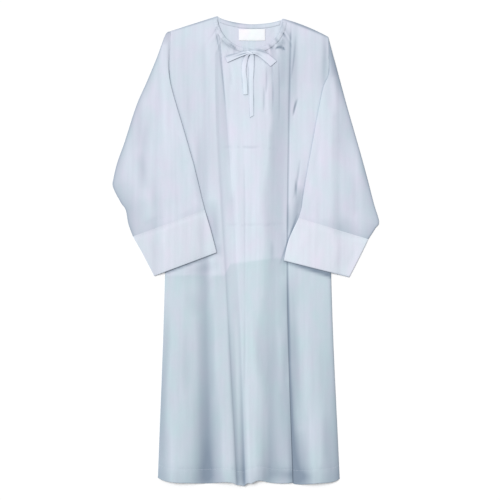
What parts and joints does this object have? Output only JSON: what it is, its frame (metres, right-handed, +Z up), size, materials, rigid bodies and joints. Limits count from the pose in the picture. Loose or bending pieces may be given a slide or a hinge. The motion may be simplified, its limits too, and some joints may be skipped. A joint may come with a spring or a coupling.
{
  "type": "alb robe, laid flat",
  "caption": "Long white alb laid flat on its back: gathered round neck tied with a bow, wide sleeves with deep cuffs folded over the front, folds to the hem.",
  "frame": {"origin": "on the surface that the garment lies on, under the middle of its outline", "axes": "+Z up, out of the front of the garment; +Y from the hem to the neck; +X towards the wearer's left sleeve"},
  "size_m": [0.7778, 1.3705, 0.0143],
  "materials": {
    "white_cotton": "matt plain weave",
    "doubled_cotton": "matt plain weave, doubled and pressed",
    "cotton_tape": "matt flat tape",
    "label_weave": "smooth satin weave"
  },
  "bodies": {
    "root": {"back_panel": "white_cotton", "front_panel": "white_cotton", "sleeve_left": "white_cotton", "sleeve_right": "white_cotton", "cuff_left": "doubled_cotton", "cuff_right": "doubled_cotton", "neck_casing_front": "doubled_cotton", "neck_casing_back": "doubled_cotton", "label": "label_weave", "tie_knot": "cotton_tape", "tie_loop_left": "cotton_tape", "tie_loop_right": "cotton_tape", "tie_tail_left": "cotton_tape", "tie_tail_right": "cotton_tape"}
  },
  "joints": []
}
